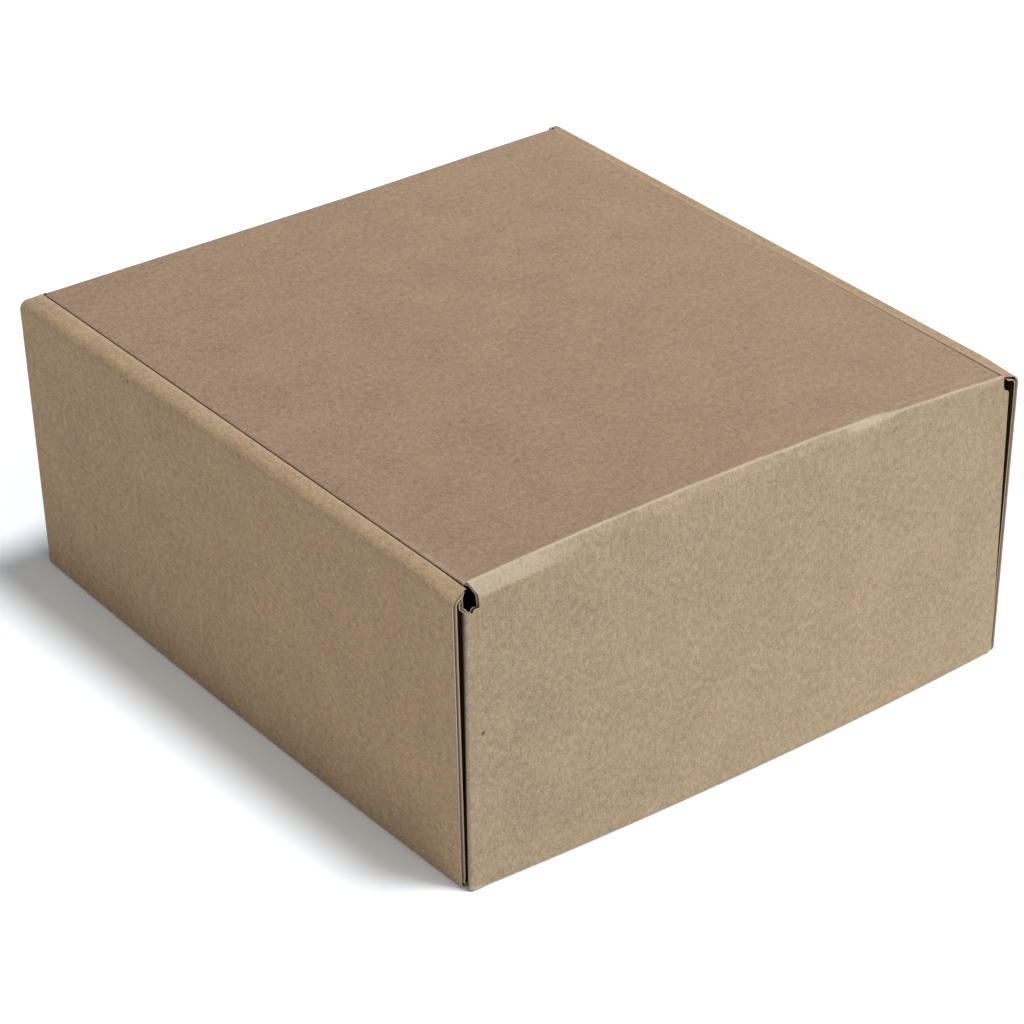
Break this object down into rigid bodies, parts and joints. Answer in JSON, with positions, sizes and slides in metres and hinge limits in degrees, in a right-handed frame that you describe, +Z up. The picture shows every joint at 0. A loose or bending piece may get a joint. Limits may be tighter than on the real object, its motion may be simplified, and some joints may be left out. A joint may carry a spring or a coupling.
{
  "type": "cardboard mailer box",
  "caption": "Closed roll-end mailer box folded from fine-flute kraft corrugated board, with rolled double side walls and a lid that opens on its crease and tucks in behind the front wall.",
  "frame": {"origin": "centre of the base's underside, midway between the hinge wall's two upright folds and midway between the hinge crease and the lid's front fold", "axes": "+Z up, +Y towards the hinge wall, +X towards the rolled side wall that leans out further"},
  "size_m": [0.2097, 0.2264, 0.098],
  "materials": {
    "kraft_board": "uncoated brown kraft liner, matt, with fine fibres and specks"
  },
  "bodies": {
    "body": {"box_body": "kraft_board"},
    "lid": {"lid": "kraft_board"}
  },
  "joints": [
    {"name": "lid_hinge", "type": "hinge", "parent": "body", "child": "lid", "pos_m": [0, 0.1085, 0.096], "axis": [-1, 0, 0], "range_deg": [0, 180]}
  ]
}
